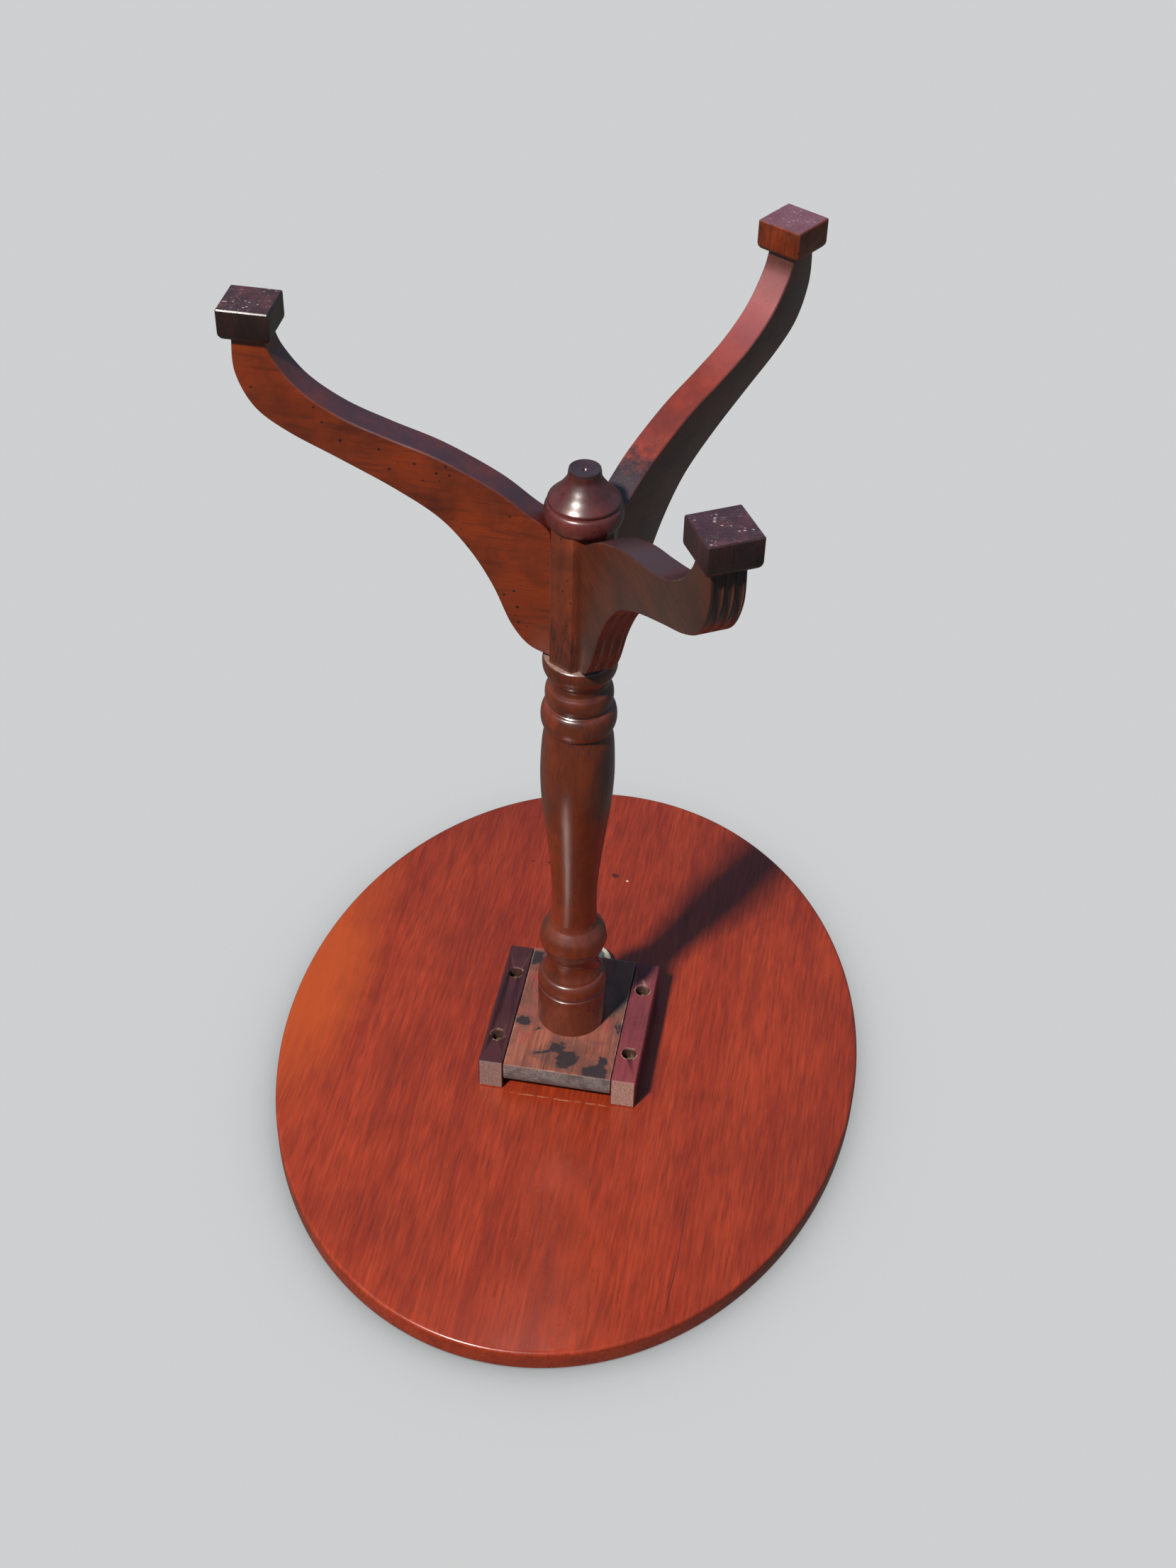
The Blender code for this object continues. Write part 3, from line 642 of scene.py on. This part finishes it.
def sun_faded_and_sheen(w, colour):
    """One leg's under-face is faded to a brighter red, paler pink towards the foot as a painted sheen, and
    black with grime beside the column.
    """
    under = w.spread(w.axis("Z", normal=True), -0.3, -0.7)
    field = w.noise(w.scaled((1, 1, 1), (0.4, 0, 0)), 34, 4, 0.6)
    faded_and_sheen = w.mix(w.spread(field, 0.38, 0.62), [0.210, 0.024, 0.007], [0.115, 0.013, 0.006])
    # Painted sheen: paler pink towards the foot, for the gloss of sun and sky on the under-face.
    faded_and_sheen = w.mix(w.spread(w.axis("X"), 0.120, 0.19, 0, 0.8), faded_and_sheen, [0.27, 0.070, 0.070])
    colour = w.mix(w.times(under, 0.9), colour, faded_and_sheen)
    ragged = w.ragged(w.noise(w.place, 120, 4, 0.7), 0.05)
    near = w.spread(w.math("ADD", w.axis("X"), ragged), 0.066, 0.050)
    return w.mix(w.times(under, near, 0.95), colour, [0.010, 0.006, 0.009])


def sole_marks(w, colour):
    """Pale scratches and flecks and red, rubbed patches on the soles."""
    sole = w.spread(w.axis("Z", normal=True), -0.8, -0.95)
    patch = w.spread(w.noise(w.place, 55, 4, 0.65), 0.48, 0.62, 0, 0.44)
    colour = w.mix(w.times(sole, patch), colour, [0.105, 0.026, 0.030])
    dots = w.spread(w.cells(w.scaled((1, 1.6, 1)), 210), 0.24, 0.14)
    where = w.spread(w.noise(w.place, 70, 3), 0.44, 0.54)
    colour = w.mix(w.times(dots, where, 0.75, sole), colour, [0.42, 0.32, 0.31])
    thread = w.noise(w.scaled((1, 3.0, 1), (0.3, 0.1, 0)), 120, 2, 0.4, 2.2)
    line = w.near_middle(thread, 0.010, 0.003)
    return w.mix(w.times(line, 0.5, sole, where), colour, [0.30, 0.22, 0.22])


def screw_holes(w, colour):
    """Painted shade inside the counterbores, with a pale worn ring round each mouth."""
    x, y = w.math("ABSOLUTE", w.axis("X")), w.math("ABSOLUTE", w.axis("Y"))
    away = w.away(x, y, HOLE_X, HOLE_Y)
    inside = w.times(w.spread(away, 0.0064, 0.0061), w.spread(w.axis("Z"), 0.6165, 0.6185))
    colour = w.mix(w.times(inside, 0.95), colour, [0.035, 0.014, 0.010])
    ragged = w.times(w.noise(w.place, 500, 3), 0.0012)
    off = w.math("ABSOLUTE", w.math("SUBTRACT", away, w.math("ADD", ragged, HOLE_RADIUS)))
    ring = w.spread(off, 0.0004, 0.0001)
    broken = w.spread(w.noise(w.place, 160, 2), 0.46, 0.58)
    mouth = w.times(ring, broken, w.spread(w.axis("Z"), 0.6168, 0.6163))
    return w.mix(w.times(mouth, 0.75), colour, [0.42, 0.27, 0.17])


def crayon(w, colour):
    """Red crayon marks on the block's face, beside the column."""
    x, y = w.math("ABSOLUTE", w.axis("X")), w.axis("Y")
    beside = w.times(w.spread(x, 0.024, 0.027), w.spread(x, 0.040, 0.037))
    beside = w.times(beside, w.spread(w.math("ABSOLUTE", y), 0.046, 0.040))
    scribble = w.noise(w.scaled((1, 0.45, 1), (0.1, 0.6, 0)), 190, 3, 0.6, 1.5)
    share = w.times(beside, w.spread(scribble, 0.53, 0.60, 0, 0.7))
    return w.mix(share, colour, [0.27, 0.020, 0.028])


def shaded_end(w, colour):
    """Painted shade: the half of the block's face away from the sun is darkened nearly black."""
    ragged = w.ragged(w.noise(w.place, 40, 4, 0.6), 0.03)
    x = w.math("ADD", w.axis("X"), ragged)
    y = w.math("ADD", w.axis("Y"), ragged)
    share = w.times(w.spread(x, -0.016, -0.026), w.spread(y, -0.004, 0.010))
    return w.mix(w.times(share, 0.6), colour, [0.080, 0.050, 0.036])


def saw_marks(w, colour):
    """Dark, slanting saw marks and grime on the block's sawn ends."""
    end = w.spread(w.math("ABSOLUTE", w.axis("Y", normal=True)), 0.9, 0.95)
    slant = w.times(w.math("ADD", w.axis("X"), w.axis("Z")), 2600)
    teeth = w.spread(w.math("SINE", slant), -0.2, 0.9, 0, 0.45)
    grime = w.spread(w.noise(w.place, 75, 4, 0.6), 0.46, 0.60, 0, 0.6)
    faint = w.spread(w.noise(w.place, 300, 3), 0.4, 0.6)
    dark = w.math("MAXIMUM", w.times(teeth, faint), grime)
    inner = w.math("SUBTRACT", 1.0, w.edges(0.0012))
    return w.mix(w.times(dark, end, inner), colour, [0.055, 0.040, 0.040])


def dust_line(w, colour):
    """A broken line of dust on the underside along the block's near end."""
    x, y = w.math("ABSOLUTE", w.axis("X")), w.axis("Y")
    wander = w.ragged(w.noise(w.place, 40, 3), 0.004)
    off = w.math("ABSOLUTE", w.math("ADD", w.math("ADD", y, 0.0682), wander))
    broken = w.spread(w.noise(w.place, 150, 3, 0.6), 0.42, 0.54)
    line = w.times(w.spread(off, 0.0009, 0.0003), w.spread(x, 0.044, 0.040), broken)
    return w.mix(w.times(line, 0.4), colour, [0.46, 0.22, 0.14])


def bare_shoulder(w, colour):
    """The turned shoulder above the legs' flats was never polished."""
    facing = w.spread(w.axis("Z", normal=True), -0.6, -0.85)
    level = w.math("ABSOLUTE", w.math("SUBTRACT", w.axis("Z"), LEG_SECTION_HEAD))
    share = w.times(facing, w.spread(level, 0.0012, 0.0008))
    grain = w.noise(w.place, 500, 4, 0.6)
    pale = w.mix(w.spread(grain, 0.3, 0.7), [0.30, 0.20, 0.17], [0.17, 0.10, 0.085])
    return w.mix(w.times(share, 0.9), colour, pale)


def seat_scratches(w, colour):
    """Dark curved scratches near the head of the leg section."""
    z = w.axis("Z")
    field = w.noise(w.scaled((1, 1, 0.28), (0.1, 0.4, 0.2)), 60, 1, 0.3, 1.6)
    line = w.near_middle(field, 0.030, 0.010)
    band = w.times(w.spread(z, 0.212, 0.220), w.spread(z, 0.246, 0.240))
    return w.mix(w.times(line, band, 0.85), colour, [0.018, 0.007, 0.006])


def end_face(w, colour):
    """The finial's end face is nearly black, with a purple bloom."""
    share = w.spread(w.axis("Z"), 0.0980, 0.0968, 0, 0.92)
    return w.mix(share, colour, [0.022, 0.010, 0.014])


def scraped(w, colour):
    """Rubbed, brighter red patches on the flats."""
    field = w.noise(w.scaled((1, 1, 0.5), (0.2, 0.9, 0.4)), 26, 5, 0.62)
    return w.mix(w.spread(field, 0.54, 0.66, 0, 0.4), colour, [0.21, 0.035, 0.014])


# Pieces.

column = turned_column()
section = leg_section()
finial = turned_finial()
combine(column, section, "UNION")
smooth(column, 30)
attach(column, "pedestal")
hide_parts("column")
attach(finial, "pedestal")
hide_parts("drop_finial")

legs, feet = [], []
for number, angle in enumerate(LEG_ANGLES, 1):
    leg = curved_leg(number, angle)
    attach(leg, "pedestal")
    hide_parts(f"leg_{number}", f"foot_dowel_{number}")
    legs.append(leg)
    foot = copy_of(f"foot_{number}", f"visual_foot_{number}", 0)
    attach(foot, "pedestal")
    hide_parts(f"foot_{number}")
    feet.append(foot)

board = oval_board()
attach(board, "top")
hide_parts("tabletop")

block = copy_of("pillar_block", "visual_block", 0.0006)
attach(block, "pedestal")
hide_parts("pillar_block")

bearers = []
for side in ("left", "right"):
    bearer = copy_of(f"bearer_{side}", f"visual_bearer_{side}", 0)
    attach(bearer, "top")
    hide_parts(f"bearer_{side}")
    bearers.append(bearer)

# Finishes.

TURNED = dict(rough=(0.30, 0.42), coat=0.85, coat_rough=0.21, specular=0.5, cloud=22, cloud_share=0.8)
finial_wood = wood(
    "turned_finial_wood",
    (0.018, 0.0048, 0.0042),
    (0.060, 0.0110, 0.0090),
    (0.100, 0.0175, 0.0130),
    along=2,
    stretch=0.16,
    figure=40,
    fine_share=0.2,
    specks=0.9,
    pores=0.4,
    bump=0.10,
    wear=(0.19, 0.065, 0.055),
    wear_share=0.5,
    wear_radius=0.0016,
    extras=(end_face,),
    **TURNED,
)
top_wood = wood(
    "polished_underside",
    (0.115, 0.0120, 0.0052),
    (0.228, 0.0235, 0.0078),
    (0.285, 0.0335, 0.0100),
    along=1,
    figure=30,
    cloud=6,
    cloud_share=0.6,
    fine_share=0.35,
    pores=0.35,
    rough=(0.24, 0.36),
    coat=0.2,
    coat_rough=0.2,
    specular=0.4,
    bump=0.10,
    streaks=0.35,
    streak_scale=75,
    extras=(sunlit_edge, hairline, knots, dust_line),
    wear=(0.36, 0.09, 0.035),
    wear_share=0.35,
)
column_wood = wood(
    "turned_mahogany",
    (0.019, 0.0050, 0.0026),
    (0.074, 0.0122, 0.0036),
    (0.128, 0.0210, 0.0044),
    along=2,
    stretch=0.16,
    figure=40,
    fine_share=0.16,
    specks=0.8,
    pores=0.4,
    bump=0.10,
    wear=(0.19, 0.065, 0.045),
    wear_share=0.5,
    wear_radius=0.0016,
    extras=(scraped, seat_scratches, bare_shoulder),
    **TURNED,
)


def leg_finish(name, dark, mid, light, under_face):
    return wood(
        name,
        dark,
        mid,
        light,
        along=0,
        stretch=0.14,
        figure=24,
        fine_share=0.12,
        specks=0.95,
        speck_scale=130,
        streaks=0.45,
        streak_scale=150,
        pores=0.45,
        bump=0.14,
        wear=(0.30, 0.115, 0.080),
        wear_share=0.7,
        wear_radius=0.0016,
        extras=(under_face, dark_flutes),
        **TURNED,
    )


leg_woods = [
    leg_finish(
        "leg_mahogany_orange",
        (0.038, 0.0070, 0.0026),
        (0.112, 0.0138, 0.0018),
        (0.180, 0.0235, 0.0022),
        under_face=blackened,
    ),
    leg_finish(
        "leg_mahogany_red",
        (0.024, 0.0080, 0.0050),
        (0.062, 0.0150, 0.0080),
        (0.090, 0.0205, 0.0095),
        under_face=sun_faded_and_sheen,
    ),
    leg_finish(
        "leg_mahogany_brown",
        (0.022, 0.0056, 0.0020),
        (0.052, 0.0096, 0.0018),
        (0.077, 0.0142, 0.0024),
        under_face=blackened,
    ),
]


def foot_finish(name, dark, mid, light, sole):
    return wood(
        name,
        dark,
        mid,
        light,
        along=2,
        stretch=0.3,
        figure=60,
        cloud=40,
        cloud_share=0.8,
        specks=0.7,
        end_grain=sole,
        rough=(0.28, 0.48),
        coat=0.3,
        coat_rough=0.18,
        wear=(0.20, 0.12, 0.115),
        wear_share=0.4,
        wear_radius=0.0009,
        bump=0.30,
        extras_after=(sole_marks,),
    )


foot_woods = [
    foot_finish(
        "foot_near_black",
        (0.006, 0.0035, 0.0035),
        (0.014, 0.0068, 0.0062),
        (0.024, 0.0100, 0.0085),
        sole=(0.046, 0.016, 0.016),
    ),
    foot_finish(
        "foot_red_brown",
        (0.030, 0.0070, 0.0030),
        (0.110, 0.0160, 0.0035),
        (0.170, 0.0260, 0.0045),
        # Partly painted sheen: this sole is end grain with a painted pink-purple sky sheen on it.
        sole=(0.205, 0.078, 0.105),
    ),
    foot_finish(
        "foot_dark_purple",
        (0.009, 0.0045, 0.0055),
        (0.026, 0.0080, 0.0085),
        (0.042, 0.0120, 0.0115),
        sole=(0.046, 0.018, 0.025),
    ),
]
bearer_look = dict(
    along=1,
    stretch=0.1,
    figure=60,
    cloud=20,
    fine_share=0.2,
    pores=0.5,
    rough=(0.40, 0.60),
    wear=(0.33, 0.19, 0.14),
    wear_share=0.7,
    wear_radius=0.0012,
    bump=0.30,
    extras_after=(screw_holes,),
)
dark_wood = wood(
    "dark_bearer_wood",
    (0.022, 0.0064, 0.0084),
    (0.044, 0.0096, 0.0120),
    (0.060, 0.0124, 0.0142),
    end_grain=(0.29, 0.17, 0.145),
    paint=60,
    **bearer_look,
)
red_wood = wood(
    "red_bearer_wood",
    (0.062, 0.0120, 0.0160),
    (0.135, 0.0230, 0.0300),
    (0.175, 0.0310, 0.0350),
    end_grain=(0.40, 0.23, 0.185),
    paint=44,
    **bearer_look,
)
block_wood = wood(
    "bare_block_wood",
    (0.080, 0.025, 0.019),
    (0.205, 0.054, 0.031),
    (0.285, 0.088, 0.052),
    along=1,
    stretch=0.06,
    figure=70,
    cloud=18,
    cloud_share=0.6,
    fine_share=0.4,
    pores=0.7,
    end_grain=(0.225, 0.185, 0.175),
    rough=(0.55, 0.8),
    bump=0.5,
    extras=(crayon, ink_blots, shaded_end),
    extras_after=(saw_marks,),
    wear=(0.50, 0.38, 0.31),
    wear_share=0.9,
)
dowel_wood = wood(
    "wedge_wood",
    (0.30, 0.18, 0.10),
    (0.48, 0.33, 0.20),
    (0.58, 0.43, 0.28),
    along=2,
    figure=90,
    rough=(0.55, 0.75),
)
steel = metal("tarnished_screw_steel", (0.62, 0.44, 0.24), (0.30, 0.20, 0.11), metallic=0.8)
plated = metal(
    "dull_plated_catch",
    (0.70, 0.63, 0.46),
    (0.52, 0.46, 0.33),
    metallic=0.45,
    rough=(0.42, 0.6),
    stain_share=0.3,
)


def paint(obj, finish):
    obj.data.materials.clear()
    obj.data.materials.append(finish)


for obj, finish in zip((column, finial, board, block), (column_wood, finial_wood, top_wood, block_wood)):
    paint(obj, finish)
for obj, finish in zip(legs + feet + bearers, leg_woods + foot_woods + [red_wood, dark_wood]):
    paint(obj, finish)

CARRIED = {
    "screw_steel": steel,
    "plated_catch": plated,
    "dowel_wood": dowel_wood,
}
for entry in frame["record"]["subparts"]:
    node = frame["nodes"][entry["node"]]
    if not node.hide_render and entry["material_slot"] in CARRIED:
        paint(node, CARRIED[entry["material_slot"]])

# Stage, light and camera.


def hide_from_light(obj):
    """The camera still sees it, but it neither lights, shades nor shows in the object's gloss."""
    obj.visible_shadow = False
    obj.visible_diffuse = False
    obj.visible_glossy = False
    obj.visible_transmission = False


def stage_plane(name, height, facing, half=13.0):
    mesh = bpy.data.meshes.new(name)
    corners = [(-half, -half, height), (half, -half, height), (half, half, height), (-half, half, height)]
    mesh.from_pydata(corners, [], [(0, 1, 2, 3) if facing > 0 else (3, 2, 1, 0)])
    plane = bpy.data.objects.new(name, mesh)
    bpy.context.scene.collection.objects.link(plane)
    hide_from_light(plane)
    return plane


def one_sided(name, front):
    """A material seen from its front only; `front` adds the front's shader to the tree."""
    material = bpy.data.materials.new(name)
    material.use_nodes = True
    tree = material.node_tree
    tree.nodes.remove(tree.nodes["Principled BSDF"])
    clear = tree.nodes.new("ShaderNodeBsdfTransparent")
    side = tree.nodes.new("ShaderNodeNewGeometry")
    choose = tree.nodes.new("ShaderNodeMixShader")
    tree.links.new(side.outputs["Backfacing"], choose.inputs["Fac"])
    tree.links.new(front(tree), choose.inputs[1])
    tree.links.new(clear.outputs[0], choose.inputs[2])
    tree.links.new(choose.outputs[0], tree.nodes["Material Output"].inputs["Surface"])
    return material


def pale_floor(tree):
    floor = tree.nodes.new("ShaderNodeBsdfDiffuse")
    floor.inputs["Color"].default_value = (0.70, 0.70, 0.69, 1)
    return floor.outputs[0]


def contact_shadow(tree):
    """Clear, but tinted where something stands close, like a floor that catches soft shadows."""
    near = tree.nodes.new("ShaderNodeAmbientOcclusion")
    near.samples = 8
    near.inputs["Distance"].default_value = 0.30
    shade = tree.nodes.new("ShaderNodeMapRange")
    shade.inputs["To Min"].default_value = 0.25
    clear = tree.nodes.new("ShaderNodeBsdfTransparent")
    tree.links.new(near.outputs["AO"], shade.inputs["Value"])
    tree.links.new(shade.outputs[0], clear.inputs["Color"])
    return clear.outputs[0]


stage_plane("floor_upright", 0.0, 1).data.materials.append(one_sided("floor", pale_floor))
stage_plane("floor_upturned", TOP_FACE + 0.0004, -1).data.materials.append(
    one_sided("floor_catch", contact_shadow)
)



def studio_sky():
    """Bluish from below, which is the open sky of the upturned table, and plain grey above."""
    world = bpy.data.worlds.new("studio")
    bpy.context.scene.world = world
    world.use_nodes = True
    sky = world.node_tree
    direction = sky.nodes.new("ShaderNodeTexCoord")
    height = sky.nodes.new("ShaderNodeSeparateXYZ")
    toward = sky.nodes.new("ShaderNodeMapRange")
    toward.interpolation_type = "SMOOTHSTEP"
    toward.inputs["From Min"].default_value = -0.35
    toward.inputs["From Max"].default_value = 0.20
    tint = sky.nodes.new("ShaderNodeMix")
    tint.data_type = "RGBA"
    tint.inputs["A"].default_value = (0.16, 0.225, 0.33, 1)
    tint.inputs["B"].default_value = (0.105, 0.105, 0.10, 1)
    sky.links.new(direction.outputs["Generated"], height.inputs[0])
    sky.links.new(height.outputs["Z"], toward.inputs["Value"])
    sky.links.new(toward.outputs[0], tint.inputs["Factor"])
    sky.links.new(tint.outputs["Result"], sky.nodes["Background"].inputs["Color"])
    sky.nodes["Background"].inputs["Strength"].default_value = 1.0


def backdrop():
    """A pale sphere round everything, seen by the camera only."""
    shape = bmesh.new()
    bmesh.ops.create_uvsphere(shape, u_segments=48, v_segments=24, radius=14.0)
    sphere = new_object("backdrop", shape)
    paint = bpy.data.materials.new("backdrop_paint")
    paint.use_nodes = True
    tree = paint.node_tree
    tree.nodes.remove(tree.nodes["Principled BSDF"])
    glow = tree.nodes.new("ShaderNodeEmission")
    glow.inputs["Color"].default_value = (0.62, 0.63, 0.635, 1)
    tree.links.new(glow.outputs[0], tree.nodes["Material Output"].inputs["Surface"])
    sphere.data.materials.append(paint)
    hide_from_light(sphere)


def area_light(name, place, target, size, power, colour=(1, 1, 1), glossy=True):
    data = bpy.data.lights.new(name, "AREA")
    data.size = size
    data.energy = power
    data.color = colour
    light = bpy.data.objects.new(name, data)
    light.location = place
    light.rotation_mode = "QUATERNION"
    light.rotation_quaternion = (Vector(target) - Vector(place)).to_track_quat("-Z", "Y")
    light.visible_glossy = glossy
    bpy.context.scene.collection.objects.link(light)


KEY_TRAVEL = Vector((-0.299, 0.554, 0.777)).normalized()
KEY_DISTANCE = 5.0
MIDDLE = Vector((0, 0, 0.40))
CAMERA_PLACE = (-0.1835, -1.12436, -0.63233)
CAMERA_RIGHT = Vector((-0.984541, 0.173684, -0.022655))
CAMERA_UP = Vector((0.131426, 0.647034, -0.751049))
CAMERA_LENS = 47.3021


def photo_camera():
    data = bpy.data.cameras.new("camera")
    data.lens = CAMERA_LENS
    data.sensor_width = 36.0
    data.clip_start = 0.05
    data.clip_end = 30.0
    camera = bpy.data.objects.new("camera", data)
    back = CAMERA_RIGHT.cross(CAMERA_UP)
    turn = Matrix((CAMERA_RIGHT, CAMERA_UP, back)).transposed().to_4x4()
    camera.matrix_world = Matrix.Translation(CAMERA_PLACE) @ turn
    bpy.context.scene.collection.objects.link(camera)
    bpy.context.scene.camera = camera
    bpy.context.scene.view_settings.view_transform = "Standard"


studio_sky()
area_light("key", MIDDLE - KEY_TRAVEL * KEY_DISTANCE, MIDDLE, 0.42, 450, (1.0, 0.955, 0.885))
area_light("overhead", (-0.3, 0.2, 3.1), MIDDLE, 2.2, 70, glossy=False)
backdrop()
photo_camera()
